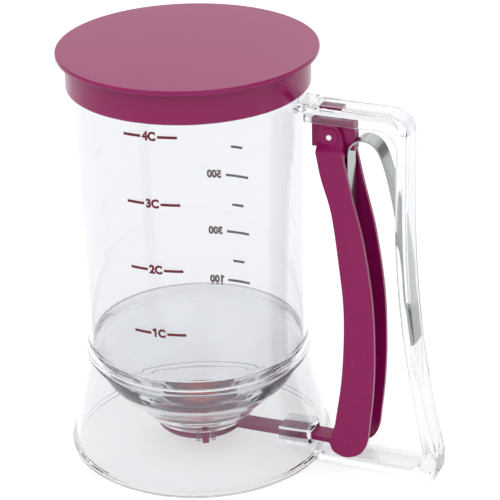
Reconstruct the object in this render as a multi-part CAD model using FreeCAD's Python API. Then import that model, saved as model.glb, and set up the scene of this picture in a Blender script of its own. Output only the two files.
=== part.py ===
import FreeCAD, Part
import math
import os
from FreeCAD import Vector

# Hand-held batter dispenser: a clear cup on a clear conical foot, with a loop handle.
# Squeezing the trigger draws a sealed gate aside under the cup and lets batter fall.
# Frame: origin on the cup's axis at table level, +Z up, +X towards the handle.

# Overall heights
total_h = 190.0
joint_z = 53.0          # where the cup meets the foot
wall = 2.2              # clear moulded walls
fit_gap = 0.3           # least gap between pieces that move past each other
past = 1.0              # how far a cutter reaches past the material
sink = 0.1              # how far a rib starts inside the wall it stands on

# Cup
cup_foot_r = 50.2       # outside, at the joint with the foot
cup_top_r = 52.1        # outside, just below the lid
shoulder_z = 173.6      # the lid's skirt stops just above this shoulder
neck_r = 50.8           # outside of the stepped-in mouth
neck_wall = 2.0
rim_round = 0.8
spigot_depth = 5.0      # the cup stands this deep in the foot
spigot_wall = 4.4       # thick ring where cup and foot are joined
bowl_mid_r = 42.8       # rounded funnel, outside, half-way down
bowl_mid_z = 35.5
bowl_low_r = 33.0       # where the round part turns into a straight cone
bowl_low_z = 24.5
bowl_mid_inward = (-0.95, 0.45)     # from the outer to the inner face there, in walls
bowl_low_inward = (-0.7, 0.75)
pad_inward = (-1.6, 0.35)
spigot_lead = 0.6       # the funnel starts this far in and down from the spigot's edge
pad_r = 21.6            # flat pad round the outlet
pad_z = 12.0
pad_t = 1.8
outlet_r = 6.8
tab_count = 3           # pairs of tabs that grip the valve housing
tab_angle = -61.0
tab_w = 2.4
tab_drop = 4.2
tab_t = 1.6
tab_gap = 0.1           # between a tab and the housing's side
tab_rib_gap = 0.4       # between a tab and the rib that it stands beside

# Lid
lid_r = 56.8
lid_t = 2.3
lid_skirt_r = 53.1
lid_skirt_wall = 1.8
lid_edge_round = 0.9
lid_rib_r = 46.0        # stiffening ring under the top
lid_rib_t = 1.6
lid_rib_h = 2.4
lid_seat = 0.3          # gap over the mouth and over the shoulder

# Foot
foot_r = 59.9
foot_bead_h = 3.4
foot_bead_out = 0.9     # how far the bead stands out of the cone
foot_round = 0.8
seat_ledge = ((-0.4, -1.0), (-0.4, -2.4), (0.5, -4.0))  # under the spigot, from the wall's inside

# Handle
handle_w = 16.0
handle_wall = 2.2       # side walls of the channel
handle_skin = 2.2       # outer wall of the grip
top_arm_z = 172.3
top_plate_t = 4.0
top_arm_depth = 8.3     # depth of the arm's side walls
rib_start_x = 56.0
grip_outer_top_x = 101.5
grip_outer_mid = (104.0, 83.0)
grip_outer_low = (110.3, 38.0)
grip_outer_foot_x = 116.4
grip_inner_top_x = 96.4
grip_inner_top_z = 118.0
grip_inner_mid = (99.0, 80.0)
grip_inner_low = (104.9, 41.0)
grip_inner_foot = (109.0, 17.0)
grip_corner_r = 9.0
grip_inner_corner_r = 8.0
grip_foot_round = 3.6
grip_foot_flat_z = 11.5     # the grip's outside stands upright below this
inner_foot_run = 4.0        # curve from the lower arm up into the grip, from grip_inner_foot
inner_foot_via = (-0.6, 2.4)
inner_foot_rise = (0.4, -6.0)
bottom_arm_t = 5.3
groove_end_z = 61.0     # the grip is solid below this

# Pivot
pivot_x = 66.4
pivot_drop = 14.3       # below the top of the handle
pivot_z = top_arm_z - pivot_drop
pin_r = 1.3
lug_r = 5.0
lug_t = 4.8
pin_bore_gap = 0.05     # running clearance round the pin

# Trigger
trigger_w = 18.4
trigger_wall = 2.0
trigger_web = 2.2
web_top = (62.1, pivot_z - 8.0)
web_bend_high = (64.2, pivot_z - 18.0)
web_high = (68.6, 125.0)
web_mid = (71.7, 103.0)
web_waist = (74.1, 78.0)
web_leg = (73.2, 48.0)
web_low = (69.8, 22.0)
back_top = (74.0, pivot_z - 8.0)
back_neck = (77.7, 133.5)
back_high = (82.8, 113.0)
back_mid = (87.0, 85.0)
back_waist = (88.1, 60.0)
back_leg = (87.6, 41.0)
back_low = (86.0, 24.0)
toe_back = (84.7, 14.5)
toe_back_via = (81.3, 8.7)
toe_low = (75.0, 6.0)
toe_front_via = (69.2, 7.7)
toe_front = (66.9, 12.0)
ear_points = ((-5.0, 1.6), (-2.8, 5.5), (2.8, 5.5), (5.0, 2.4), (6.0, -1.4))  # from the pivot
ear_back_in = 0.4       # the ears' back edge stands in from the channel's
shoulder_lean = 0.3     # the shoulders lean this far forwards
head_half_w = 4.75
ear_gap = 5.4
ear_r = 5.6
ear_boss_r = 4.4
ear_boss_h = 0.6
slot_blind = 0.9        # wall left outside each slot for the cross pin
eye_gap = 0.5           # room over the bar's eye, under the web's end

# Hairpin spring
spring_w = 10.0
spring_t = 0.8
spring_low_z = 79.0
spring_hook_z = 66.0
spring_seat_z = 104.0   # from here down the long leg lies on the groove's floor
spring_seat_gap = 0.2
spring_hook_in = 1.4    # inward hook at the long leg's end
spring_left = (75.3, pivot_z - 12.0)    # points on the strip's inner face
spring_left_turn = (76.8, pivot_z - 3.4)
spring_top = (82.3, pivot_z - 0.4)
spring_right_turn = (88.5, pivot_z - 5.4)
spring_right = (94.0, 134.0)

# Valve
housing_r = 20.4
housing_wall = 2.0
housing_floor_t = 2.0
housing_floor_z = 6.6
dish_flat_r = 15.6      # the floor is flat up to here, then turns up into the side
dish_side_z = 4.2       # height of that turn
quarter_mid = (math.sin(math.pi / 4), 1 - math.cos(math.pi / 4))   # middle of a quarter turn
drop_r = 9.0
window_gap = 1.0        # beside the gate plate, each side
runner_gap = 0.4
runner_w = 1.6
runner_back = 12.0
rib_w = 3.0
rib_out = 1.6
gate_plate_r = 12.6
gate_t = 2.4
gate_lift = 0.4         # above the housing floor
seal_r = 10.3
seal_t = 1.35
seal_lip = 0.3
seal_lip_w = 1.0
seal_gap = 0.3          # under the outlet pad
seal_side_gap = 0.1
bar_w = 9.0
eye_r = 2.9             # eye at the bar's end, round the cross pin
bar_side_gap = 0.8
link_pin_r = 1.6
link_x = 75.5
duct_start_x = 41.0
duct_wall = 1.6
duct_root = 0.4         # share of the foot's wall that the duct reaches into
duct_under_gap = 1.2
duct_over_gap = 1.6

# Places worked out from the sizes above
housing_top_z = pad_z
head_front_x = pivot_x + ear_points[0][0]
head_back_x = pivot_x + ear_points[-1][0]
head_z = pivot_z + ear_points[-1][1]
head_top_z = pivot_z + ear_points[1][1]
gate_z = housing_floor_z + housing_floor_t + gate_lift
gate_top_z = gate_z + gate_t
bar_mid_z = gate_z + gate_t / 2
neck_top_z = total_h - lid_t - lid_seat
spigot_r = cup_foot_r - wall + 0.2
spigot_z = joint_z - spigot_depth
top_wall_z = top_arm_z - top_arm_depth
duct_low_z = gate_z - duct_under_gap
duct_high_z = gate_top_z + duct_over_gap
duct_half_w = bar_w / 2 + bar_side_gap
seal_z = pad_z - seal_gap - seal_t
grip_outer_high = (grip_outer_top_x + 0.1, 128.0)


def v(u, w, y=0.0):
    """Point at radius or X = u and height w, in the plane Y = y."""
    return Vector(u, y, w)


def outline(start, *steps, y=0.0):
    """Closed face in an XZ plane.

    A step is an end point, a pair (point on the arc, end point) or a longer row of points on a curve.
    """
    edges = []
    here = v(*start, y)
    for step in steps + (start,):
        if isinstance(step[0], tuple) and len(step) > 2:
            end = v(*step[-1], y)
            curve = Part.BSplineCurve()
            curve.interpolate([here] + [v(*p, y) for p in step])
            edges.append(curve.toShape())
        elif isinstance(step[0], tuple):
            via, end = v(*step[0], y), v(*step[1], y)
            edges.append(Part.Arc(here, via, end).toShape())
        else:
            end = v(*step, y)
            if here.distanceToPoint(end) < 1e-7:
                continue
            edges.append(Part.LineSegment(here, end).toShape())
        here = end
    return Part.Face(Part.Wire(edges))


def turned(start, *steps):
    """Full turn of a half profile about the cup's axis."""
    return outline(start, *steps).revolve(Vector(0, 0, 0), Vector(0, 0, 1), 360)


def slab(start, *steps, half_w):
    """XZ outline thickened evenly to both sides of Y = 0."""
    return outline(start, *steps, y=-half_w).extrude(Vector(0, 2 * half_w, 0))


def block(x0, x1, y0, y1, z0, z1):
    return Part.makeBox(x1 - x0, y1 - y0, z1 - z0, Vector(x0, y0, z0))


def drum(r, z0, z1):
    return Part.makeCylinder(r, z1 - z0, Vector(0, 0, z0))


def cross_pin(r, x, z, half_len):
    """Cylinder along Y, centred on Y = 0."""
    return Part.makeCylinder(r, 2 * half_len, Vector(x, -half_len, z), Vector(0, 1, 0))


def corner_via(centre, r, angle):
    """Point on a round corner, angle in degrees from +X towards +Z."""
    a = math.radians(angle)
    return (centre[0] + r * math.cos(a), centre[1] + r * math.sin(a))


def between(a, b, share):
    return (a[0] + (b[0] - a[0]) * share, a[1] + (b[1] - a[1]) * share)


def shifted(p, dx, dz=0.0):
    return (p[0] + dx, p[1] + dz)


def inward(r, z, way):
    """Point on the inner face of the funnel, opposite one on its outer face."""
    return (r + wall * way[0], z + wall * way[1])


def cup_outer_r(z):
    share = (z - joint_z) / (shoulder_z - joint_z)
    return cup_foot_r + (cup_top_r - cup_foot_r) * share


def foot_outer_r(z):
    cone_foot_r = foot_r - foot_bead_out
    return cone_foot_r + (cup_foot_r - cone_foot_r) * z / joint_z


def make_container():
    """Cup with its stepped mouth, rounded funnel and outlet pad, and the tabs that hold the housing."""
    inner_turn_z = joint_z + wall
    wall_inner_foot = cup_outer_r(inner_turn_z) - wall
    ring_inner = spigot_r - spigot_wall / 2
    neck_inner_r = neck_r - neck_wall
    shell = turned(
        (outlet_r, pad_z),
        (pad_r, pad_z),
        (bowl_low_r, bowl_low_z),
        ((bowl_mid_r, bowl_mid_z), (spigot_r - spigot_lead, spigot_z - spigot_lead)),
        (spigot_r, spigot_z),
        (spigot_r, joint_z),
        (cup_foot_r, joint_z),
        (cup_top_r, shoulder_z - rim_round),
        (cup_top_r - rim_round / 2, shoulder_z),
        (neck_r, shoulder_z),
        (neck_r, neck_top_z - rim_round),
        (neck_r - rim_round, neck_top_z),
        (neck_inner_r, neck_top_z),
        (neck_inner_r, shoulder_z),
        (cup_top_r - wall, shoulder_z - 2 * wall),
        (wall_inner_foot, inner_turn_z + wall),
        (ring_inner, spigot_z),
        (inward(bowl_mid_r, bowl_mid_z, bowl_mid_inward), inward(bowl_low_r, bowl_low_z, bowl_low_inward)),
        inward(pad_r, pad_z + pad_t, pad_inward),
        (outlet_r, pad_z + pad_t),
    )
    tab_r = housing_r + tab_gap
    tab = block(tab_r, tab_r + tab_t, -tab_w / 2, tab_w / 2, pad_z - tab_drop, pad_z + pad_t)
    offset = math.degrees((rib_w / 2 + tab_w / 2 + tab_rib_gap) / housing_r)
    for i in range(tab_count):
        for side in (-offset, offset):
            one = tab.copy()
            one.rotate(Vector(0, 0, 0), Vector(0, 0, 1), tab_angle + side + 360.0 * i / tab_count)
            shell = shell.fuse(one)
    return shell.removeSplitter()


def make_lid():
    """Flat press-on cover: wide top, skirt round the mouth and a stiffening ring underneath."""
    under = total_h - lid_t
    skirt_low = shoulder_z + lid_seat
    skirt_inner = lid_skirt_r - lid_skirt_wall
    body = turned(
        (0, under),
        (lid_rib_r - lid_rib_t, under),
        (lid_rib_r - lid_rib_t, under - lid_rib_h),
        (lid_rib_r, under - lid_rib_h),
        (lid_rib_r, under),
        (skirt_inner, under),
        (skirt_inner, skirt_low),
        (lid_skirt_r, skirt_low),
        (lid_skirt_r, under),
        (lid_r - lid_edge_round / 3, under),
        ((lid_r, under + lid_edge_round / 3), (lid_r, under + 2 * lid_edge_round / 3)),
        (lid_r, total_h - lid_edge_round),
        (corner_via((lid_r - lid_edge_round, total_h - lid_edge_round), lid_edge_round, 45),
         (lid_r - lid_edge_round, total_h)),
        (0, total_h),
    )
    return body


def bar_duct(cavity):
    """Guide duct for the pull bar, trimmed to the inside of the foot."""
    outside = block(duct_start_x, foot_r, -duct_half_w - duct_wall, duct_half_w + duct_wall,
                    duct_low_z - duct_wall, duct_high_z + duct_wall)
    return outside.common(cavity)


def make_base_skirt():
    """Conical foot with a bead at its lower edge, a socket for the cup and the bar's duct and slot."""
    cone_foot_r = foot_r - foot_bead_out
    socket_r = spigot_r
    inner_top = cup_foot_r - wall
    shell = turned(
        (cone_foot_r - wall, 0),
        (foot_r - foot_round, 0),
        (corner_via((foot_r - foot_round, foot_round), foot_round, -45), (foot_r, foot_round)),
        (foot_r, foot_bead_h - foot_bead_out),
        (foot_outer_r(foot_bead_h), foot_bead_h),
        (cup_foot_r, joint_z),
        (socket_r, joint_z),
        (socket_r, spigot_z),
        *[(inner_top + dx, spigot_z + dz) for dx, dz in seat_ledge],
    )
    cavity = turned(
        (0, 0),
        (cone_foot_r - wall * (1 - duct_root), 0),
        (inner_top + wall * duct_root, spigot_z + seat_ledge[-1][1]),
        (0, spigot_z + seat_ledge[-1][1]),
    )
    passage = block(duct_start_x - past, foot_r + past, -duct_half_w, duct_half_w, duct_low_z, duct_high_z)
    return shell.fuse(bar_duct(cavity)).cut(passage).removeSplitter()


def handle_body():
    """Side view of the loop from the cup round the grip to the foot."""
    outer_corner = (grip_outer_top_x - grip_corner_r, top_arm_z - grip_corner_r)
    inner_corner = (grip_inner_top_x - grip_inner_corner_r, top_wall_z - grip_inner_corner_r)
    foot_corner = (grip_outer_foot_x - grip_foot_round, grip_foot_round)
    inner_foot_start = (grip_inner_foot[0] - inner_foot_run, bottom_arm_t)
    inner_foot_mid = (grip_inner_foot[0] + inner_foot_via[0], bottom_arm_t + inner_foot_via[1])
    root_x = cup_foot_r - wall
    return slab(
        (root_x, top_arm_z),
        (outer_corner[0], top_arm_z),
        (corner_via(outer_corner, grip_corner_r, 45), (grip_outer_top_x, outer_corner[1])),
        grip_outer_high,
        (grip_outer_mid, grip_outer_low),
        (grip_outer_foot_x, grip_foot_flat_z),
        (grip_outer_foot_x, foot_corner[1]),
        (corner_via(foot_corner, grip_foot_round, -45), (foot_corner[0], 0)),
        (root_x, 0),
        (root_x, bottom_arm_t),
        inner_foot_start,
        (inner_foot_mid, shifted(grip_inner_foot, *inner_foot_rise)),
        grip_inner_foot,
        grip_inner_low,
        (grip_inner_mid, (grip_inner_top_x, grip_inner_top_z)),
        (grip_inner_top_x, inner_corner[1]),
        (corner_via(inner_corner, grip_inner_corner_r, 45), (inner_corner[0], top_wall_z)),
        (root_x, top_wall_z),
        half_w=handle_w / 2,
    )


def groove_floor_x(z):
    """Floor of the grip's groove, parallel to the outside of the grip."""
    curve = Part.Arc(v(*grip_outer_high), v(*grip_outer_mid), v(*grip_outer_low)).toShape().Curve
    side = 1 if grip_outer_mid[0] > curve.Center.x else -1
    reach = math.sqrt(curve.Radius ** 2 - (z - curve.Center.z) ** 2)
    return curve.Center.x + side * reach - handle_skin


def handle_groove():
    """Channel inside the top arm and the grip, open towards the trigger."""
    plate_z = top_arm_z - top_plate_t
    floor_x = grip_outer_top_x - handle_skin
    r = grip_corner_r - handle_skin
    corner = (floor_x - r, plate_z - r)
    mouth_x = grip_inner_top_x - grip_inner_corner_r
    mid_z = (grip_outer_high[1] + groove_end_z) / 2
    return slab(
        (rib_start_x + handle_wall, plate_z),
        (corner[0], plate_z),
        (corner_via(corner, r, 45), (floor_x, corner[1])),
        shifted(grip_outer_high, -handle_skin),
        ((groove_floor_x(mid_z), mid_z), (groove_floor_x(groove_end_z), groove_end_z)),
        (mouth_x, groove_end_z),
        (mouth_x, top_wall_z - past),
        (rib_start_x + handle_wall, top_wall_z - past),
        half_w=handle_w / 2 - handle_wall,
    )


def make_handle_frame():
    """Loop handle with its pivot lug, its two ends shaped to the cup and the foot."""
    frame = handle_body().cut(handle_groove())
    frame = frame.cut(block(cup_foot_r - wall, rib_start_x, -handle_w, handle_w,
                            top_wall_z - past, top_arm_z - top_plate_t))
    lug = slab(
        (pivot_x - lug_r, pivot_z),
        ((pivot_x, pivot_z - lug_r), (pivot_x + lug_r, pivot_z)),
        (pivot_x + lug_r, top_arm_z - top_plate_t / 2),
        (pivot_x - lug_r, top_arm_z - top_plate_t / 2),
        half_w=lug_t / 2,
    )
    frame = frame.fuse(lug)
    frame = frame.cut(cross_pin(pin_r, pivot_x, pivot_z, handle_w))
    cup_body = turned((0, joint_z), (cup_foot_r, joint_z), (cup_top_r, shoulder_z - rim_round),
                      (0, shoulder_z - rim_round))
    foot_body = turned((0, 0), (foot_r - foot_round, 0),
                       (corner_via((foot_r - foot_round, foot_round), foot_round, -45),
                        (foot_r, foot_round)),
                       (foot_r, foot_bead_h - foot_bead_out),
                       (foot_outer_r(foot_bead_h), foot_bead_h),
                       (cup_foot_r, joint_z), (0, joint_z))
    return frame.cut(cup_body).cut(foot_body).removeSplitter()


def make_pivot_pin():
    """Steel pin through both ears of the trigger and the lug."""
    length = head_half_w + ear_boss_h
    pin = cross_pin(pin_r, pivot_x, pivot_z, length)
    return pin.makeChamfer(pin_r / 5, [e for e in pin.Edges if len(e.Vertexes) == 1])


def web_curve(gap):
    """Front of the trigger from its foot up to its head, moved back by a gap."""
    rising = (web_leg, web_waist, web_mid, web_high, web_bend_high, web_top)
    return tuple(shifted(p, gap) for p in rising)


def trigger_channel():
    """Room inside the trigger, open towards the grip and at the toe."""
    mouth_x = back_waist[0] + trigger_wall
    return slab(
        shifted(web_low, trigger_web),
        web_curve(trigger_web),
        (mouth_x, web_top[1]),
        (mouth_x, 0),
        (toe_front[0] + trigger_web, 0),
        half_w=trigger_w / 2 - trigger_wall,
    )


def trigger_shoulders():
    """Sloping block from the channel's full width up to the forked head."""
    def level(x0, x1, half, z):
        corners = [Vector(x0, -half, z), Vector(x1, -half, z), Vector(x1, half, z), Vector(x0, half, z)]
        return Part.makePolygon(corners + corners[:1])

    low = level(web_top[0], back_top[0], trigger_w / 2, web_top[1])
    high = level(web_top[0] - shoulder_lean, head_back_x, head_half_w, head_z)
    return Part.makeLoft([low, high], True, True)


def make_trigger():
    """Channel-shaped squeeze lever, open towards the grip, with a forked head and a rounded toe."""
    body = slab(
        web_low,
        web_curve(0),
        back_top,
        (back_neck, back_high, back_mid, back_waist, back_leg, back_low),
        (toe_back, toe_back_via, toe_low, toe_front_via, toe_front),
        half_w=trigger_w / 2,
    )
    body = body.cut(trigger_channel())
    head = slab(
        (head_front_x, web_top[1]),
        *[(pivot_x + dx, pivot_z + dz) for dx, dz in ear_points],
        shifted(back_top, -ear_back_in),
        half_w=head_half_w,
    )
    boss = cross_pin(ear_boss_r, pivot_x, pivot_z, head_half_w + ear_boss_h)
    body = body.fuse([trigger_shoulders(), head, boss])
    fork = block(head_front_x - ear_r, head_back_x + ear_r, -ear_gap / 2, ear_gap / 2,
                 pivot_z - ear_r, head_top_z + past)
    bar_way = block(toe_front[0] - past, toe_back[0] + past, -trigger_w / 2 + trigger_wall,
                    trigger_w / 2 - trigger_wall, 0, bar_mid_z + eye_r + eye_gap)
    slot_half = link_pin_r + fit_gap
    slot_depth = trigger_w / 2 - slot_blind
    slots = block(link_x - slot_half, link_x + slot_half, -slot_depth, slot_depth,
                  0, bar_mid_z + link_pin_r + fit_gap)
    bore = cross_pin(pin_r + pin_bore_gap, pivot_x, pivot_z, trigger_w)
    return body.cut([fork, bar_way, slots, bore]).removeSplitter()


def make_spring_strip():
    """Flat steel strip bent to a hairpin, its short leg in the trigger and its long leg in the grip."""
    short_x = web_waist[0] + trigger_web + fit_gap + spring_t
    seat_in = spring_t + spring_seat_gap
    seat_zs = [spring_seat_z + (spring_hook_z - spring_seat_z) * i / 3 for i in range(4)]
    inner_face = (
        (short_x, spring_low_z),
        between((short_x, spring_low_z), spring_left, 0.5),
        spring_left,
        spring_left_turn,
        spring_top,
        spring_right_turn,
        spring_right,
        *[(groove_floor_x(z) - seat_in, z) for z in seat_zs],
    )
    curve = Part.BSplineCurve()
    curve.interpolate([v(*p) for p in inner_face])
    outer_face = []
    for p in inner_face:
        along = curve.tangent(curve.parameter(v(*p)))[0]
        outer_face.append(shifted(p, -along.z * spring_t, along.x * spring_t))
    back = tuple(reversed(outer_face[:-1]))
    strip = slab(inner_face[0], inner_face[1:], outer_face[-1], back, half_w=spring_w / 2)
    end_x = inner_face[-1][0]
    hook = block(end_x - spring_hook_in, end_x + spring_t / 2, -spring_w / 2, spring_w / 2,
                 spring_hook_z, spring_hook_z + spring_t)
    return strip.fuse(hook).removeSplitter()


def make_valve_gate():
    """Flat gate plate with its recess for the seal, and the bar that the trigger pulls."""
    plate = drum(gate_plate_r, gate_z, gate_top_z)
    bar = block(0, link_x, -bar_w / 2, bar_w / 2, gate_z, gate_top_z)
    eye = cross_pin(eye_r, link_x, bar_mid_z, bar_w / 2)
    recess = drum(seal_r + seal_side_gap, seal_z, gate_top_z + past)
    bore = cross_pin(link_pin_r, link_x, bar_mid_z, bar_w)
    return plate.fuse([bar, eye]).cut([recess, bore]).removeSplitter()


def make_link_pin():
    """Cross pin at the end of the bar; its ends ride in the trigger's slots."""
    half = trigger_w / 2 - slot_blind - fit_gap
    pin = cross_pin(link_pin_r, link_x, bar_mid_z, half)
    return pin.makeChamfer(link_pin_r / 5, [e for e in pin.Edges if len(e.Vertexes) == 1])


def make_gate_seal():
    """Soft disc that closes the outlet, with a thin raised lip."""
    seal = drum(seal_r, seal_z, seal_z + seal_t - seal_lip)
    lip = drum(outlet_r + 2 * seal_lip_w, seal_z, seal_z + seal_t).cut(
        drum(outlet_r + seal_lip_w, seal_z, seal_z + seal_t))
    return seal.fuse(lip).removeSplitter()


def make_valve_housing():
    """Shallow cup under the outlet, open towards the handle, with runners beside the gate."""
    floor_top = housing_floor_z + housing_floor_t
    inner_r = housing_r - housing_wall
    turn = housing_r - dish_flat_r
    body = turned(
        (drop_r, housing_floor_z),
        (dish_flat_r, housing_floor_z),
        ((dish_flat_r + turn * quarter_mid[0], housing_floor_z + dish_side_z * quarter_mid[1]),
         (housing_r, housing_floor_z + dish_side_z)),
        (housing_r, housing_top_z),
        (inner_r, housing_top_z),
        (inner_r, floor_top + dish_side_z - housing_floor_t),
        (inner_r - turn / 2, floor_top),
        (drop_r, floor_top),
    )
    way = gate_plate_r + window_gap
    body = body.cut(block(0, housing_r + past, -way, way, floor_top, housing_top_z))
    inside = drum(housing_r - housing_wall / 2, floor_top - sink, housing_top_z)
    runner = block(-runner_back, housing_r, gate_plate_r + runner_gap,
                   gate_plate_r + runner_gap + runner_w, floor_top - sink, housing_top_z)
    for side in (runner, runner.mirror(Vector(0, 0, 0), Vector(0, 1, 0))):
        body = body.fuse(side.common(inside))
    rib = block(housing_r - housing_wall / 2, housing_r + rib_out, -rib_w / 2, rib_w / 2,
                housing_floor_z, housing_top_z)
    for i in range(tab_count):
        one = rib.copy()
        one.rotate(Vector(0, 0, 0), Vector(0, 0, 1), tab_angle + 360.0 * i / tab_count)
        body = body.fuse(one)
    return body.removeSplitter()


def main():
    os.makedirs("parts", exist_ok=True)
    parts = {
        "container": make_container(),
        "base_skirt": make_base_skirt(),
        "handle_frame": make_handle_frame(),
        "lid": make_lid(),
        "pivot_pin": make_pivot_pin(),
        "trigger": make_trigger(),
        "spring_strip": make_spring_strip(),
        "valve_housing": make_valve_housing(),
        "valve_gate": make_valve_gate(),
        "gate_seal": make_gate_seal(),
        "link_pin": make_link_pin(),
    }
    for name, shape in parts.items():
        print(name, shape.isValid(), len(shape.Solids), round(shape.Volume))
        shape.exportStep("parts/" + name + ".step")


main()
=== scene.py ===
"""Finish, camera and light for a hand-held batter dispenser.

A clear moulded cup stands on a clear conical foot and has a clear loop handle. The lid, the squeeze
trigger and the valve are magenta plastic, the hairpin spring is bright steel strip and the seal is
red silicone. Lengths are written in millimetres and turned into metres where a mesh is made.
"""

import logging
import math
from dataclasses import dataclass, field
from enum import Enum

import bmesh
import bpy
from mathutils import Matrix, Vector


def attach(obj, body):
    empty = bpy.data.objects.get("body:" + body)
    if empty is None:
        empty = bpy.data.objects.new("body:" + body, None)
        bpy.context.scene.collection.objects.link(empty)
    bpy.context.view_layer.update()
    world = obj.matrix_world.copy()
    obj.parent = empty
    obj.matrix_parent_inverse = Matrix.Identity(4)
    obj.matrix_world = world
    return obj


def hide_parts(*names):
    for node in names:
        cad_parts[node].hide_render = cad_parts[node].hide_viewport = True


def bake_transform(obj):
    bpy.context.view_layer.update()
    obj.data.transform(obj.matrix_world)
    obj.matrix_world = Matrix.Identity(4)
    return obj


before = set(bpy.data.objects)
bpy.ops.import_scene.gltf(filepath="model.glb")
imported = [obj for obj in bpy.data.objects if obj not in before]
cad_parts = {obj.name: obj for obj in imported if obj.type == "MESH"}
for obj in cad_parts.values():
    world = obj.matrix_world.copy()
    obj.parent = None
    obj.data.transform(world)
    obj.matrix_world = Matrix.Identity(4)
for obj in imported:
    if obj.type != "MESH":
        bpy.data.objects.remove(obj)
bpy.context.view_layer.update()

Point = tuple[float, float]
LOG = logging.getLogger("dispenser")
MM = 0.001
AIR = 0.08                      # film of air where two clear pieces meet
SKIM = 0.02                     # keeps the faces of two pieces out of one plane
PAST = 1.0                      # how far a cutter reaches past what it cuts
HALFWAY_IN = 0.293              # depth of a quarter round's middle, as a share of its radius
SHARP = 40.0                    # edges that turn more than this, in degrees, are rounded
PIVOT: Point = (66.4, 158.0)    # the trigger's pin, across and up
LINK: Point = (75.5, 10.2)      # the pull bar's cross pin
PASSES = 0.94                   # share of the lamps' light that clear plastic lets straight through


class Body(Enum):
    """The rigid bodies that the pieces ride on."""

    VESSEL = "vessel"
    TRIGGER = "trigger_body"
    GATE = "gate_body"
    LID = "lid_body"


class Slot(Enum):
    """The record's material slots."""

    CLEAR = "clear_plastic"
    COLOURED = "coloured_plastic"
    RUBBER = "seal_rubber"
    PIN = "pin_steel"
    SPRING = "spring_steel"


# Outlines


@dataclass
class Outline:
    """Row of points in a plane, across and up in millimetres, that grows run by run."""

    points: list[Point]

    @classmethod
    def at(cls, *points: Point) -> "Outline":
        """Start an outline with one or more points joined by straight runs."""
        return cls(list(points))

    def line(self, *points: Point) -> "Outline":
        """Add straight runs to the given points."""
        self.points.extend(points)
        return self

    def arc(self, via: Point, end: Point, steps: int = 10) -> "Outline":
        """Add a round run through a point.

        Args:
            via: A point on the arc.
            end: Where the arc ends.
            steps: Straight pieces that the arc is drawn with.

        Returns:
            The same outline.
        """
        (ax, ay), (bx, by), (cx, cy) = self.points[-1], via, end
        d = 2 * (ax * (by - cy) + bx * (cy - ay) + cx * (ay - by))
        ux = ((ax**2 + ay**2) * (by - cy) + (bx**2 + by**2) * (cy - ay) + (cx**2 + cy**2) * (ay - by)) / d
        uy = ((ax**2 + ay**2) * (cx - bx) + (bx**2 + by**2) * (ax - cx) + (cx**2 + cy**2) * (bx - ax)) / d
        radius = math.hypot(ax - ux, ay - uy)
        first = math.atan2(ay - uy, ax - ux)
        turns = [(math.atan2(y - uy, x - ux) - first) % math.tau for x, y in (via, end)]
        sweep = turns[1] if turns[0] <= turns[1] else turns[1] - math.tau
        for i in range(1, steps + 1):
            a = first + sweep * i / steps
            self.points.append((ux + radius * math.cos(a), uy + radius * math.sin(a)))
        return self

    def curve(self, *through: Point, steps: int = 6) -> "Outline":
        """Add a smooth run through a row of points.

        Args:
            through: The points that the curve passes.
            steps: Straight pieces between two points.

        Returns:
            The same outline.
        """
        knots = [Vector(p) for p in (self.points[-1], *through)]
        rows = [2 * knots[0] - knots[1], *knots, 2 * knots[-1] - knots[-2]]
        for i in range(1, len(rows) - 2):
            p0, p1, p2, p3 = rows[i - 1 : i + 3]
            for s in range(1, steps + 1):
                t = s / steps
                q = 0.5 * (2 * p1 + (p2 - p0) * t + (2 * p0 - 5 * p1 + 4 * p2 - p3) * t**2
                           + (3 * p1 - p0 - 3 * p2 + p3) * t**3)
                self.points.append((q.x, q.y))
        return self

    def eased(self, radius: float, steps: int = 4, least_turn: float = 20.0) -> "Outline":
        """Round the corners of a closed outline.

        Args:
            radius: The radius of each rounding, less where a side is short.
            steps: Straight pieces in each rounding.
            least_turn: Corners that turn less than this, in degrees, stay.

        Returns:
            A new outline.
        """
        knots = [Vector(p) for p in self.points]
        made: list[Point] = []
        for i, p in enumerate(knots):
            before, after = knots[i - 1], knots[(i + 1) % len(knots)]
            u, w = before - p, after - p
            turn = math.pi - u.angle(w, math.pi)
            on_axis = abs(p.x) < 1e-6
            if on_axis or turn < math.radians(least_turn):
                made.append((p.x, p.y))
                continue
            reach = min(radius * math.tan(turn / 2), u.length * 0.45, w.length * 0.45)
            a, b = p + u.normalized() * reach, p + w.normalized() * reach
            for s in range(steps + 1):
                t = s / steps
                q = a * (1 - t) ** 2 + p * (2 * t * (1 - t)) + b * t**2
                made.append((q.x, q.y))
        return Outline(made)


def aside(p: Point, dx: float, dz: float = 0.0) -> Point:
    """Return a point moved across and up."""
    return (p[0] + dx, p[1] + dz)


# Solids


def in_scene(name: str, data: bpy.types.ID) -> bpy.types.Object:
    """Show a mesh, a curve, a lamp or a camera as a new object of the scene."""
    made = bpy.data.objects.new(name, data)
    bpy.context.scene.collection.objects.link(made)
    return made


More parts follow.
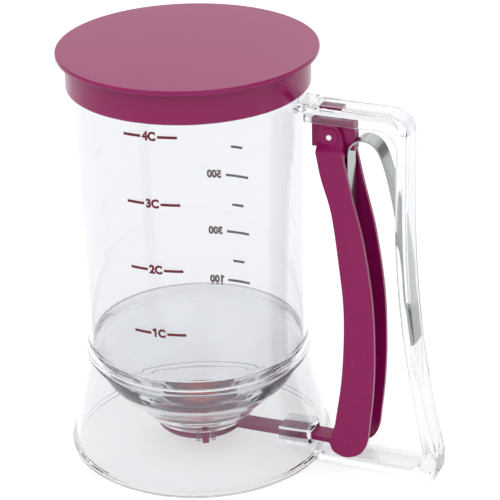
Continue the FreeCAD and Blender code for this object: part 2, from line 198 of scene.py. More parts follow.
class Blank:
    """A solid that is being shaped, in metres, in its place on the object."""

    def __init__(self, bm: bmesh.types.BMesh) -> None:
        """Take over a bmesh."""
        self.bm = bm

    @classmethod
    def turned(cls, outline: Outline, segments: int = 144) -> "Blank":
        """Spin a closed half profile about the cup's axis.

        Args:
            outline: Radius and height of each point.
            segments: Steps in the full turn.

        Returns:
            The turned solid.
        """
        bm = bmesh.new()
        ring = [bm.verts.new((r * MM, 0, z * MM)) for r, z in outline.points]
        edges = [bm.edges.new((ring[i - 1], ring[i])) for i in range(len(ring))
                 if ring[i - 1].co.x + ring[i].co.x > 1e-7]
        bmesh.ops.spin(bm, geom=ring + edges, cent=(0, 0, 0), axis=(0, 0, 1), angle=math.tau,
                       steps=segments, use_merge=True)
        bmesh.ops.remove_doubles(bm, verts=bm.verts, dist=1e-6)
        return cls(bm).outward()

    @classmethod
    def slab(cls, outline: Outline, half_w: float) -> "Blank":
        """Thicken a closed side view evenly to both sides of the middle plane."""
        bm = bmesh.new()
        ring = [bm.verts.new((x * MM, -half_w * MM, z * MM)) for x, z in outline.points]
        face = bm.faces.new(ring)
        made = bmesh.ops.extrude_face_region(bm, geom=[face])
        moved = [v for v in made["geom"] if isinstance(v, bmesh.types.BMVert)]
        bmesh.ops.translate(bm, verts=moved, vec=(0, 2 * half_w * MM, 0))
        bmesh.ops.remove_doubles(bm, verts=bm.verts, dist=1e-7)
        return cls(bm).outward()

    @classmethod
    def box(cls, x0: float, x1: float, y0: float, y1: float, z0: float, z1: float) -> "Blank":
        """Make a block from its limits."""
        bm = bmesh.new()
        bmesh.ops.create_cube(bm, size=1)
        bmesh.ops.scale(bm, verts=bm.verts, vec=Vector((x1 - x0, y1 - y0, z1 - z0)) * MM)
        bmesh.ops.translate(bm, verts=bm.verts, vec=Vector((x0 + x1, y0 + y1, z0 + z1)) * (MM / 2))
        return cls(bm)

    @classmethod
    def cross_pin(cls, r: float, x: float, z: float, y0: float, y1: float, segments: int = 40) -> "Blank":
        """Make a round bar along Y."""
        bm = bmesh.new()
        bmesh.ops.create_cone(bm, cap_ends=True, segments=segments, radius1=r * MM, radius2=r * MM,
                              depth=(y1 - y0) * MM)
        bmesh.ops.rotate(bm, verts=bm.verts, cent=(0, 0, 0), matrix=Matrix.Rotation(math.pi / 2, 3, "X"))
        bmesh.ops.translate(bm, verts=bm.verts, vec=Vector((x, (y0 + y1) / 2, z)) * MM)
        return cls(bm)

    @classmethod
    def drum(cls, r: float, z0: float, z1: float, segments: int = 144) -> "Blank":
        """Make a round block on the cup's axis."""
        bm = bmesh.new()
        bmesh.ops.create_cone(bm, cap_ends=True, segments=segments, radius1=r * MM, radius2=r * MM,
                              depth=(z1 - z0) * MM)
        bmesh.ops.translate(bm, verts=bm.verts, vec=(0, 0, (z0 + z1) * MM / 2))
        return cls(bm)

    def outward(self) -> "Blank":
        """Turn every face outwards."""
        bmesh.ops.recalc_face_normals(self.bm, faces=self.bm.faces)
        return self

    def turned_by(self, degrees: float) -> "Blank":
        """Turn the solid about the cup's axis."""
        bmesh.ops.rotate(self.bm, verts=self.bm.verts, cent=(0, 0, 0),
                         matrix=Matrix.Rotation(math.radians(degrees), 3, "Z"))
        return self

    def mirrored(self) -> "Blank":
        """Return the same solid on the other side of the middle plane."""
        bm = self.bm.copy()
        bmesh.ops.scale(bm, verts=bm.verts, vec=(1, -1, 1))
        return Blank(bm).outward()

    def _object(self, name: str) -> bpy.types.Object:
        """Put the solid into a new object of the scene."""
        mesh = bpy.data.meshes.new(name)
        self.bm.to_mesh(mesh)
        return in_scene(name, mesh)

    def _combined(self, other: "Blank", operation: str) -> "Blank":
        """Join or cut with another solid, exactly."""
        first, second = self._object("work"), other._object("tool")
        step = first.modifiers.new("combine", "BOOLEAN")
        step.operation, step.solver, step.object = operation, "EXACT", second
        depsgraph = bpy.context.evaluated_depsgraph_get()
        made = bpy.data.meshes.new_from_object(first.evaluated_get(depsgraph))
        self.bm.clear()
        self.bm.from_mesh(made)
        for spare in (first, second):
            mesh = spare.data
            bpy.data.objects.remove(spare)
            bpy.data.meshes.remove(mesh)
        bpy.data.meshes.remove(made)
        bmesh.ops.remove_doubles(self.bm, verts=self.bm.verts, dist=2e-6)
        bmesh.ops.dissolve_degenerate(self.bm, edges=self.bm.edges, dist=2e-6)
        return self

    def cut(self, *others: "Blank") -> "Blank":
        """Take other solids away from this one."""
        for other in others:
            self._combined(other, "DIFFERENCE")
        return self

    def add(self, *others: "Blank") -> "Blank":
        """Fuse other solids to this one."""
        for other in others:
            self._combined(other, "UNION")
        return self

    def kept_in(self, other: "Blank") -> "Blank":
        """Keep only what lies inside another solid."""
        return self._combined(other, "INTERSECT")

    def softened(self, width: float, segments: int = 3, least_angle: float = 35.0,
                 box: tuple[Vector, Vector] | None = None, facing: Vector | None = None) -> "Blank":
        """Round the sharp edges.

        Args:
            width: How far the rounding reaches from the edge, in millimetres.
            segments: Strips in the rounding.
            least_angle: Edges that turn less than this, in degrees, stay.
            box: Lowest and highest corner, in millimetres, of the room that is rounded.
            facing: Only edges of faces that look this way are rounded.

        Returns:
            The same solid.
        """
        sharp = [e for e in self.bm.edges if len(e.link_faces) == 2
                 and e.calc_face_angle(0) > math.radians(least_angle)]
        if box:
            lo, hi = box[0] * MM, box[1] * MM
            sharp = [e for e in sharp if all(lo[i] <= v.co[i] <= hi[i] for v in e.verts for i in range(3))]
        if facing:
            sharp = [e for e in sharp if any(f.normal.dot(facing) > 0.5 for f in e.link_faces)]
        bmesh.ops.bevel(self.bm, geom=sharp, offset=width * MM, offset_type="OFFSET", affect="EDGES",
                        segments=segments, profile=0.5, material=-1, clamp_overlap=True)
        bmesh.ops.remove_doubles(self.bm, verts=self.bm.verts, dist=2e-6)
        return self

    def piece(self, name: str, material: bpy.types.Material, body: Body, slot: Slot,
              replaces: str = "", sharp_angle: float = 32.0) -> bpy.types.Object:
        """Finish the solid as a piece of the object.

        Args:
            name: The piece's name.
            material: Its finish.
            body: The body that it rides on.
            slot: The record's slot for its finish; not used.
            replaces: The solid that it stands for, if any.
            sharp_angle: Edges that turn more than this, in degrees, stay crisp.

        Returns:
            The piece.
        """
        made = self._object(name)
        made.data.materials.append(material)
        for polygon in made.data.polygons:
            polygon.use_smooth = True
        made.data.set_sharp_from_angle(angle=math.radians(sharp_angle))
        weigh = made.modifiers.new("even shading", "WEIGHTED_NORMAL")
        weigh.keep_sharp = True
        self.bm.free()
        return placed(made, body, replaces)


def placed(made: bpy.types.Object, body: Body, replaces: str = "") -> bpy.types.Object:
    """Put a finished object on its body and report it."""
    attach(made, body.value)
    if replaces:
        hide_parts(replaces)
    LOG.info("%s on %s, %d faces", made.name, body.value, len(made.data.polygons))
    return made


# Finishes


def linear(code: str) -> tuple[float, float, float, float]:
    """Turn an sRGB hex code into linear colour.

    Args:
        code: Six hex digits, such as "9B1E62".

    Returns:
        Red, green, blue and a full alpha.
    """
    parts = [int(code[i : i + 2], 16) / 255 for i in (0, 2, 4)]
    r, g, b = (c / 12.92 if c <= 0.04045 else ((c + 0.055) / 1.055) ** 2.4 for c in parts)
    return (r, g, b, 1.0)


def add_node(tree: bpy.types.NodeTree, kind: str, settings: dict | None = None,
             links: dict | None = None) -> bpy.types.Node:
    """Add one node with its settings and links.

    Args:
        tree: The node tree.
        kind: The node's type.
        settings: Values for its sockets, by name or number, or for its own properties.
        links: Output sockets for its inputs, by name or number.

    Returns:
        The node.
    """
    node = tree.nodes.new(kind)
    for key, value in (settings or {}).items():
        if isinstance(key, int) or key in node.inputs:
            node.inputs[key].default_value = value
        else:
            setattr(node, key, value)
    for key, socket in (links or {}).items():
        tree.links.new(socket, node.inputs[key])
    return node


def per_metre(spacing_mm: float) -> float:
    """Noise scale, in Object coordinates in metres, for a pattern of a real spacing."""
    return 1 / (spacing_mm * MM)


def empty_tree(owner: bpy.types.Material | bpy.types.World) -> bpy.types.NodeTree:
    """Give a material or a world an empty node tree."""
    owner.use_nodes = True
    owner.node_tree.nodes.clear()
    return owner.node_tree


@dataclass(frozen=True)
class Finish:
    """A moulded or metal finish: colour, gloss, and the small unevenness that breaks up its reflections."""

    name: str
    colour: str
    roughness: float
    roughness_swing: float = 0.04
    metallic: float = 0.0
    ior: float = 1.5
    transmission: float = 0.0
    bump_mm: float = 0.01
    bump_spacing_mm: float = 1.0
    colour_swing: float = 0.0
    stretch: tuple[float, float, float] = (1.0, 1.0, 1.0)
    subsurface: float = 0.0
    subsurface_mm: float = 2.0
    specular: float = 0.5

    def material(self) -> bpy.types.Material:
        """Build the finish as a node material.

        Returns:
            The material, with unevenness read from the piece's own Object coordinates.
        """
        made = bpy.data.materials.new(self.name)
        tree = empty_tree(made)
        where = add_node(tree, "ShaderNodeTexCoord")
        mapped = add_node(tree, "ShaderNodeMapping", {"Scale": self.stretch},
                          {"Vector": where.outputs["Object"]})
        uneven = add_node(tree, "ShaderNodeTexNoise",
                          {"Scale": per_metre(self.bump_spacing_mm), "Detail": 3.0},
                          {"Vector": mapped.outputs["Vector"]})
        gloss = add_node(tree, "ShaderNodeMapRange",
                         {"From Min": 0.3, "From Max": 0.7,
                          "To Min": max(self.roughness - self.roughness_swing, 0),
                          "To Max": self.roughness + self.roughness_swing},
                         {"Value": uneven.outputs["Fac"]})
        relief = add_node(tree, "ShaderNodeBump", {"Strength": 1.0, "Distance": self.bump_mm * MM},
                          {"Height": uneven.outputs["Fac"]})
        shader = add_node(tree, "ShaderNodeBsdfPrincipled",
                          {"Base Color": linear(self.colour), "Metallic": self.metallic,
                           "Transmission Weight": self.transmission,
                           "Subsurface Weight": self.subsurface,
                           "Subsurface Scale": self.subsurface_mm * MM},
                          {"Roughness": gloss.outputs["Result"], "Normal": relief.outputs["Normal"]})
        if not self.metallic:
            shader.inputs["IOR"].default_value = self.ior
            shader.inputs["Specular IOR Level"].default_value = self.specular
        if self.colour_swing:
            self._vary_colour(tree, uneven, shader)
        surface = shader.outputs["BSDF"]
        if self.transmission:
            surface = self._lets_lamps_through(tree, surface)
        add_node(tree, "ShaderNodeOutputMaterial", None, {"Surface": surface})
        return made

    @staticmethod
    def _lets_lamps_through(tree: bpy.types.NodeTree,
                            surface: bpy.types.NodeSocket) -> bpy.types.NodeSocket:
        """Let most of the lamps' light pass straight through clear plastic, as it does in life."""
        path = add_node(tree, "ShaderNodeLightPath")
        share = add_node(tree, "ShaderNodeMath", {"operation": "MULTIPLY", 1: PASSES},
                         {0: path.outputs["Is Shadow Ray"]})
        through = add_node(tree, "ShaderNodeBsdfTransparent", {"Color": linear("FAFBFB")})
        mix = add_node(tree, "ShaderNodeMixShader", None,
                       {0: share.outputs[0], 1: surface, 2: through.outputs[0]})
        return mix.outputs[0]

    def _vary_colour(self, tree: bpy.types.NodeTree, uneven: bpy.types.Node,
                     shader: bpy.types.Node) -> None:
        """Let the colour drift a little lighter and darker over the surface."""
        base = linear(self.colour)
        dark = tuple(c * (1 - self.colour_swing) for c in base[:3]) + (1.0,)
        light = tuple(min(c * (1 + self.colour_swing), 1.0) for c in base[:3]) + (1.0,)
        mix = add_node(tree, "ShaderNodeMix", {"data_type": "RGBA"}, {0: uneven.outputs["Fac"]})
        mix.inputs[6].default_value, mix.inputs[7].default_value = dark, light
        tree.links.new(mix.outputs[2], shader.inputs["Base Color"])


# Clear styrene acrylonitrile, injection moulded and polished: almost colourless, with faint waves
# where it flowed.
CLEAR_STYRENE = Finish("clear_styrene_moulded", "EFF0F2", 0.012, roughness_swing=0.008, ior=1.45,
                       transmission=1.0, bump_mm=0.012, bump_spacing_mm=14.0)
# ABS in magenta, moulded in a polished tool: deep colour, a broad soft sheen at a low angle.
MAGENTA_ABS = Finish("magenta_abs_moulded", "940C5C", 0.24, roughness_swing=0.05, ior=1.5,
                     bump_mm=0.01, bump_spacing_mm=5.0, colour_swing=0.05, specular=0.28)
# The same ABS on the lid, whose flat top was moulded against a finely matted plate.
MAGENTA_ABS_LID = Finish("magenta_abs_lid", "920A5A", 0.18, roughness_swing=0.04, ior=1.5,
                         bump_mm=0.006, bump_spacing_mm=7.0, colour_swing=0.03, specular=0.34)
# Silicone rubber, pressed: saturated red with a dull skin and a little depth.
RED_SILICONE = Finish("red_silicone_pressed", "D2262E", 0.42, ior=1.42, bump_mm=0.01,
                      bump_spacing_mm=0.6, subsurface=0.15)
# Cold-rolled spring steel strip: bright, with faint lines along its length.
ROLLED_STEEL = Finish("rolled_spring_steel", "A2A5A5", 0.16, roughness_swing=0.07, metallic=1.0,
                      bump_mm=0.004, bump_spacing_mm=0.5, stretch=(1.0, 3.0, 0.06))
# Drawn steel wire, cut off: pale and satin.
DRAWN_STEEL = Finish("drawn_steel_wire", "E8E8E6", 0.3, metallic=1.0, bump_mm=0.004, bump_spacing_mm=0.4)
# Pad-printed ink: a dense maroon film with a dull face.
MAROON_INK = Finish("maroon_pad_print", "6A1022", 0.5, bump_mm=0.004, bump_spacing_mm=0.3,
                    colour_swing=0.08)


# Sub-assemblies


@dataclass
class Cup:
    """The clear cup with its stepped mouth, its funnel and the tabs that hold the valve."""

    wall: float = 2.2
    foot_r: float = 50.2
    foot_z: float = 53.0
    top_r: float = 52.1
    shoulder_z: float = 173.6
    shoulder_in: float = 4.4                # how far below the shoulder the inside starts to narrow
    neck_r: float = 50.8
    neck_z: float = 187.4
    neck_wall: float = 2.0
    spigot_r: float = 48.2
    spigot_depth: float = 5.0
    spigot_ease: float = 0.3
    spigot_tip: Point = (-0.7, -0.5)        # from the spigot's corner to the bowl's end
    pad_r: float = 21.6
    pad_z: float = 12.0
    outlet_r: float = 6.8
    outlet_z: float = 13.8
    cone_end: Point = (33.0, 24.5)          # where the funnel's outside turns into the round bowl
    bowl_mid: Point = (42.8, 35.5)
    bowl_in: tuple[Point, ...] = ((48.03, 56.0), (47.95, 52.8), (47.4, 49.2), (45.7, 43.4), (41.1, 35.9),
                                  (32.0, 25.8))
    throat: Point = (18.2, 14.9)
    edge_r: float = 0.5
    tab_r: float = 20.5
    tab_angles: tuple[float, ...] = (-61.0, 59.0, 179.0)
    tab_offset: float = 8.7
    tab_t: float = 1.6
    tab_half_w: float = 1.2
    tab_z: tuple[float, float] = (-4.2, 1.8)    # from the pad's face
    tab_edge_r: float = 0.3

    def radius(self, z: float) -> float:
        """Outside radius of the cup's wall at a height."""
        share = (z - self.foot_z) / (self.shoulder_z - self.foot_z)
        return self.foot_r + (self.top_r - self.foot_r) * share

    def profile(self) -> Outline:
        """Half section of the cup."""
        foot_z, pad_z = self.foot_z + AIR, self.pad_z + SKIM
        spigot_r, spigot_z = self.spigot_r - AIR, self.foot_z - self.spigot_depth + AIR
        neck_in = self.neck_r - self.neck_wall
        outer = Outline.at((self.outlet_r, pad_z), (self.pad_r, pad_z), self.cone_end)
        outer.arc(self.bowl_mid, aside((spigot_r, spigot_z), *self.spigot_tip), steps=12)
        outer.line((spigot_r, spigot_z + self.spigot_ease), (spigot_r, foot_z), (self.foot_r, foot_z),
                   (self.top_r, self.shoulder_z), (self.neck_r, self.shoulder_z), (self.neck_r, self.neck_z),
                   (neck_in, self.neck_z), (neck_in, self.shoulder_z),
                   (self.top_r - self.wall, self.shoulder_z - self.shoulder_in), self.bowl_in[0])
        outer.curve(*self.bowl_in[1:], steps=6)
        outer.line(self.throat, (self.outlet_r, self.outlet_z))
        return outer.eased(self.edge_r)

    def build(self, clear: bpy.types.Material) -> None:
        """Make the cup."""
        body = Blank.turned(self.profile())
        for angle in self.tab_angles:
            for side in (-self.tab_offset, self.tab_offset):
                tab = Blank.box(self.tab_r, self.tab_r + self.tab_t, -self.tab_half_w, self.tab_half_w,
                                *(self.pad_z + z for z in self.tab_z))
                body.add(tab.softened(self.tab_edge_r, 2).turned_by(angle + side))
        body.piece("cup", clear, Body.VESSEL, Slot.CLEAR, "container")


@dataclass
class Foot:
    """The clear conical foot with its bead and the duct that guides the pull bar."""

    r: float = 59.9
    bead_out: float = 0.9
    bead_h: float = 3.4
    rim_r: float = 0.8
    rim_in: float = 0.24
    wall: float = 2.2
    top_r: float = Cup.foot_r
    top_z: float = Cup.foot_z
    socket_r: float = Cup.spigot_r
    socket_z: float = Cup.foot_z - Cup.spigot_depth
    # Below the socket's floor: radius, and height from that floor.
    ledge: tuple[Point, ...] = ((47.6, -1.0), (47.6, -2.4), (48.5, -4.0))
    edge_r: float = 0.4
    into_wall: float = 0.7                  # how far the duct sinks into the cone
    duct_x: float = 41.0
    duct_wall: float = 1.6
    passage_half_w: float = 5.3
    passage_z: tuple[float, float] = (7.8, 13.0)

    def cone(self, z: float) -> float:
        """Outside radius of the cone at a height."""
        low = self.r - self.bead_out
        return low + (self.top_r - low) * z / self.top_z

    def build(self, clear: bpy.types.Material) -> None:
        """Make the foot."""
        low_in = self.r - self.bead_out - self.wall
        profile = Outline.at((low_in, 0), (self.r - self.rim_r, 0))
        profile.arc((self.r - self.rim_in, self.rim_in), (self.r, self.rim_r), steps=4)
        profile.line((self.r, self.bead_h - self.bead_out), (self.cone(self.bead_h), self.bead_h),
                     (self.top_r, self.top_z), (self.socket_r + AIR, self.top_z),
                     (self.socket_r + AIR, self.socket_z),
                     *((r, self.socket_z + dz) for r, dz in self.ledge))
        body = Blank.turned(profile.eased(self.edge_r))
        high_r, high_z = aside(self.ledge[-1], self.into_wall, self.socket_z)
        room = Blank.turned(Outline.at((0, PAST), (low_in + self.into_wall, PAST), (high_r, high_z),
                                       (0, high_z)), 96)
        half = self.passage_half_w + self.duct_wall
        z0, z1 = self.passage_z
        duct = Blank.box(self.duct_x, self.r, -half, half, z0 - self.duct_wall, z1 + self.duct_wall)
        passage = Blank.box(self.duct_x - PAST, self.r + PAST, -self.passage_half_w, self.passage_half_w,
                            z0, z1)
        body.add(duct.kept_in(room)).cut(passage)
        body.piece("foot", clear, Body.VESSEL, Slot.CLEAR, "base_skirt")


@dataclass
class Lid:
    """The magenta press-on lid: flat top, overhanging rim and a skirt round the mouth."""

    r: float = 56.8
    top_z: float = 190.0
    thick: float = 2.3
    skirt_r: float = 53.1
    skirt_z: float = 173.9
    skirt_wall: float = 1.8
    skirt_draft: float = 0.15
    root_r: float = 0.2                     # how far the skirt's root spreads
    root_h: float = 0.3
    rib_r: float = 46.0
    rib_wall: float = 1.6
    rib_h: float = 2.4
    flat_in: float = 12.0
    edge_r: float = 0.75

    def build(self, magenta: bpy.types.Material) -> None:
        """Make the lid."""
        under = self.top_z - self.thick
        rib_in, rib_z = self.rib_r - self.rib_wall, under - self.rib_h
        inner = self.skirt_r - self.skirt_wall
        profile = Outline.at((0, under), (rib_in, under), (rib_in, rib_z), (self.rib_r, rib_z),
                             (self.rib_r, under), (inner, under), (inner, self.skirt_z),
                             (self.skirt_r, self.skirt_z),
                             (self.skirt_r - self.skirt_draft, under - self.root_h),
                             (self.skirt_r + self.root_r, under), (self.r, under), (self.r, self.top_z),
                             (self.r - self.flat_in, self.top_z), (0, self.top_z))
        body = Blank.turned(profile.eased(self.edge_r, steps=5), 192)
        body.piece("lid", magenta, Body.LID, Slot.COLOURED, "lid", sharp_angle=50)


@dataclass
class Handle:
    """The clear loop handle: a top arm and a grip with a channel inside, a lower arm and the pivot lug."""

    half_w: float = 8.0
    channel_half_w: float = 5.8
    top_z: float = 172.3
    plate_t: float = 4.0
    arm_z: float = 164.0
    skin: float = 2.2
    root_x: float = 48.0
    outer_top_x: float = 101.5
    outer_high: Point = (101.6, 128.0)
    outer_mid: Point = (104.0, 83.0)
    outer_low: Point = (110.3, 38.0)
    outer_foot: Point = (116.4, 11.5)
    inner_top_x: float = 96.4
    inner_high: Point = (96.4, 118.0)
    inner_mid: Point = (99.0, 80.0)
    inner_low: Point = (104.9, 41.0)
    inner_foot: Point = (109.0, 17.0)
    top_corner: Point = (9.0, 2.64)         # reach of a rounding, and the depth of its middle
    foot_corner: Point = (3.6, 1.05)
    inner_corner: Point = (8.0, 2.34)
    bend_from: float = 4.0
    bend_mid: Point = (-0.6, 2.4)
    bend_end: Point = (0.4, -6.0)
    arm_t: float = 5.3
    groove_z: float = 61.0
    groove_end: Point = (104.7, 44.0)       # where the groove's floor has run out to the grip's face
    groove_open_x: float = 88.4
    rib_x: float = 56.0
    rib_t: float = 2.2
    lug_r: float = 5.0
    lug_half_t: float = 2.4
    lug_root: float = 2.0                   # how far the lug sinks into the top plate
    hole_r: float = 1.38
    edge_r: float = 2.2
    fine_r: float = 0.35

    def body_outline(self) -> Outline:
        """Side view of the loop, as an outer and an inner run."""
        root, foot_x, top = self.root_x, self.outer_foot[0], (self.outer_top_x, self.top_z)
        reach, depth = self.top_corner
        side = Outline.at((root, self.top_z), aside(top, -reach))
        side.arc(aside(top, -depth, -depth), aside(top, 0, -reach), steps=12)
        side.line(self.outer_high)
        side.arc(self.outer_mid, self.outer_low, steps=24)
        reach, depth = self.foot_corner
        side.line(self.outer_foot, (foot_x, reach))
        side.arc((foot_x - depth, depth), (foot_x - reach, 0), steps=6)
        bend = (self.inner_foot[0], self.arm_t)
        side.line((root, 0), (root, self.arm_t), aside(bend, -self.bend_from))
        side.arc(aside(bend, *self.bend_mid), aside(self.inner_foot, *self.bend_end), steps=6)
        side.line(self.inner_foot, self.inner_low)
        side.arc(self.inner_mid, self.inner_high, steps=24)
        reach, depth = self.inner_corner
        under = (self.inner_top_x, self.arm_z)
        side.line(aside(under, 0, -reach))
        side.arc(aside(under, -depth, -depth), aside(under, -reach), steps=10)
        side.line((root, self.arm_z))
        return side

    def groove(self) -> Blank:
        """The channel inside the top arm and the grip, open towards the trigger."""
        plate = self.top_z - self.plate_t
        floor_x = self.outer_top_x - self.skin
        start_x, low = self.rib_x + self.rib_t, self.arm_z - PAST
        r = self.top_corner[0] - self.skin
        side = Outline.at((start_x, plate), (floor_x - r, plate))
        side.arc((floor_x - HALFWAY_IN * r, plate - HALFWAY_IN * r), (floor_x, plate - r), steps=10)
        side.line(aside(self.outer_high, -self.skin))
        whole = Outline.at(self.outer_high).arc(self.outer_mid, self.outer_low, steps=60)
        side.line(*[aside(p, -self.skin) for p in whole.points[3::3] if p[1] > self.groove_z])
        side.line(self.groove_end, (self.groove_open_x, self.groove_end[1]), (self.groove_open_x, low),
                  (start_x, low))
        return Blank.slab(side, self.channel_half_w)

    def build(self, clear: bpy.types.Material) -> None:
        """Make the handle."""
        body = Blank.slab(self.body_outline(), self.half_w).softened(self.edge_r, 6, SHARP)
        wide = self.half_w + PAST
        body.cut(Blank.box(self.root_x - 2 * PAST, self.rib_x, -wide, wide, self.arm_z - PAST,
                           self.top_z - self.plate_t), self.groove())
        px, pz = PIVOT
        lug = Outline.at((px - self.lug_r, pz)).arc((px, pz - self.lug_r), (px + self.lug_r, pz), steps=16)
        lug_z = self.top_z - self.lug_root
        lug.line((px + self.lug_r, lug_z), (px - self.lug_r, lug_z))
        body.add(Blank.slab(lug, self.lug_half_t))
        body.softened(self.fine_r, 2, SHARP)
        body.cut(Blank.cross_pin(self.hole_r, px, pz, -wide, wide))
        cup, foot = Cup(), Foot()
        cup_room = Outline.at((0, cup.foot_z), (cup.foot_r + AIR, cup.foot_z),
                              (cup.top_r + AIR, cup.shoulder_z), (0, cup.shoulder_z))
        foot_room = Outline.at((0, -PAST), (foot.r + AIR, -PAST),
                               (foot.r + AIR, foot.bead_h - foot.bead_out),
                               (foot.cone(foot.bead_h) + AIR, foot.bead_h),
                               (foot.top_r + AIR, foot.top_z), (0, foot.top_z))
        body.cut(Blank.turned(cup_room, 288), Blank.turned(foot_room, 288))
        body.piece("loop_handle", clear, Body.VESSEL, Slot.CLEAR, "handle_frame")


@dataclass
class Trigger:
    """The magenta squeeze lever: a channel open towards the grip, with a forked head and a round toe."""

    half_w: float = 9.2
    wall: float = 2.0
    web: float = 2.2
    web_low: Point = (69.8, 22.0)
    front: tuple[Point, ...] = ((73.2, 48.0), (74.1, 78.0), (71.7, 103.0), (68.6, 125.0), (64.2, 140.0),
                                (62.1, 150.0))
    back_top: Point = (74.0, 150.0)
    back: tuple[Point, ...] = ((77.7, 133.5), (82.8, 113.0), (87.0, 85.0), (88.1, 60.0), (87.6, 41.0),
                               (86.0, 24.0))
    toe: tuple[Point, ...] = ((84.7, 14.5), (81.3, 8.7), (75.0, 6.0), (69.2, 7.7), (66.9, 12.0))
    head_half_w: float = 4.75
    ear: tuple[Point, ...] = ((-5.6, -1.0), (-5.5, 2.0), (-3.6, 5.5), (2.8, 5.5), (5.0, 2.4), (6.0, -1.4))
    shoulder_z: tuple[float, float] = (151.6, 156.2)
    head_top_z: float = 163.5
    ear_gap_half: float = 2.7
    boss_r: float = 4.1
    boss_h: float = 0.6
    boss_root: float = 0.5
    hole_r: float = 1.35
    gap_low: float = 5.6                    # how far the gap between the ears reaches below the pivot
    fork_up: float = 3.4                    # how far the toe's fork reaches above the link
    channel_x: float = 92.0
    web_edge_r: float = 1.5
    edge_r: float = 0.7
    ear_edge_r: float = 1.1
    boss_edge_r: float = 0.25
    ear_skim: float = 0.05
    slot_half: float = 1.9
    slot_half_w: float = 8.3

    def side(self) -> Outline:
        """Side view of the lever with its ears."""
        px, pz = PIVOT
        view = Outline.at(self.web_low).curve(*self.front)
        view.line(*[(px + dx, pz + dz) for dx, dz in self.ear]).line(self.back_top)
        return view.curve(*self.back, *self.toe)

    def scoop(self) -> Blank:
        """Room outside one ear, whose foot runs smoothly out into the lever's side."""
        y0, z0 = self.half_w + 3 * SKIM, self.shoulder_z[0]
        y1, z1 = self.head_half_w, self.shoulder_z[1]
        hollow, steps = Outline.at((y0 + 3 * PAST, z0), (y0, z0)), 10
        for i in range(1, steps + 1):
            t = i / steps
            hollow.line((y0 + (y1 - y0) * t * t * (3 - 2 * t), z0 + (z1 - z0) * t))
        hollow.line((y1, self.head_top_z + 3 * PAST), (y0 + 3 * PAST, self.head_top_z + 3 * PAST))
        room = Blank.slab(hollow, 12 * PAST).turned_by(90)
        bmesh.ops.translate(room.bm, verts=room.bm.verts, vec=(PIVOT[0] * MM, 0, 0))
        return room.outward()

    def body(self) -> Blank:
        """Lever and ears in one, with rounded edges, before the channel and the fork are cut."""
        body = Blank.slab(self.side(), self.half_w)
        body.softened(self.web_edge_r, 5, SHARP, facing=Vector((1, 0, 0)))
        body.softened(self.edge_r, 3, SHARP)
        scoop = self.scoop()
        body.cut(scoop, scoop.mirrored())
        y, pz = self.head_half_w + self.ear_skim, PIVOT[1]
        for sign in (-1, 1):
            lo, hi = sorted((sign * y, sign * (y - 2 * self.ear_skim)))
            body.softened(self.ear_edge_r, 1, SHARP, box=(Vector((self.front[-1][0] - 12, lo, pz + 1.0)),
                                                          Vector((self.channel_x, hi, pz + 9))))
            ends = sorted((sign * (y - self.boss_root), sign * (y + self.boss_h)))
            body.add(Blank.cross_pin(self.boss_r, *PIVOT, *ends, 48).softened(self.boss_edge_r, 2))
        return body

    def channel(self) -> Blank:
        """Room inside the lever."""
        z_top = self.front[-1][1]
        side = Outline.at(aside(self.web_low, self.web)).curve(*[aside(p, self.web) for p in self.front])
        side.line((self.channel_x, z_top), (self.channel_x, 0), (self.toe[-1][0] + self.web, 0))
        return Blank.slab(side, self.half_w - self.wall)

    def build(self, magenta: bpy.types.Material) -> None:
        """Make the lever."""
        px, pz = PIVOT
        lx, lz = LINK
        inner, wide = self.half_w - self.wall, self.half_w + PAST
        body = self.body().cut(self.channel())
        body.cut(
            Blank.box(self.web_low[0] - 12 * PAST, self.back_top[0] + 3 * PAST,
                      -self.ear_gap_half, self.ear_gap_half, pz - self.gap_low, self.head_top_z + 2 * PAST),
            Blank.box(self.toe[-1][0] - PAST, self.toe[0][0] + PAST, -inner, inner, 0, lz + self.fork_up),
            Blank.box(lx - self.slot_half, lx + self.slot_half, -self.slot_half_w, self.slot_half_w,
                      0, lz + self.slot_half),
            Blank.cross_pin(self.hole_r, px, pz, -wide, wide),
        )
        body.piece("squeeze_trigger", magenta, Body.TRIGGER, Slot.COLOURED, "trigger")


@dataclass
class Spring:
    """The hairpin of flat steel strip between the trigger and the grip."""

    half_w: float = 5.0
    thick: float = 0.8
    edge_r: float = 0.18
    bends_from: tuple[float, float, float] = (0.094, 0, 0.150)      # in metres, on the grip's side
    bends_to: tuple[float, float, float] = (0.0775, 0, 0.150)       # and on the trigger's
    inner: tuple[Point, ...] = ((77.4, 79.0), (75.9, 112.5), (74.75, 146.0), (76.4, 154.8), (82.3, 157.7),
                                (88.5, 152.6), (94.0, 134.0), (99.0, 104.0), (100.0, 91.3), (101.6, 78.7),
                                (103.4, 66.0))

    def build(self, steel: bpy.types.Material) -> None:
        """Make the strip."""
        line = Outline.at(self.inner[0]).curve(*self.inner[1:], steps=8).points
        outer: list[Point] = []
        for i, p in enumerate(line):
            a, b = Vector(line[max(i - 1, 0)]), Vector(line[min(i + 1, len(line) - 1)])
            along = (b - a).normalized()
            outer.append(aside(p, -along.y * self.thick, along.x * self.thick))
        body = Blank.slab(Outline(line + outer[::-1]), self.half_w).softened(self.edge_r, 2, 50.0)
        piece = body.piece("hairpin_spring", steel, Body.VESSEL, Slot.SPRING, "spring_strip")
        piece.parent = None
        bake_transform(piece)


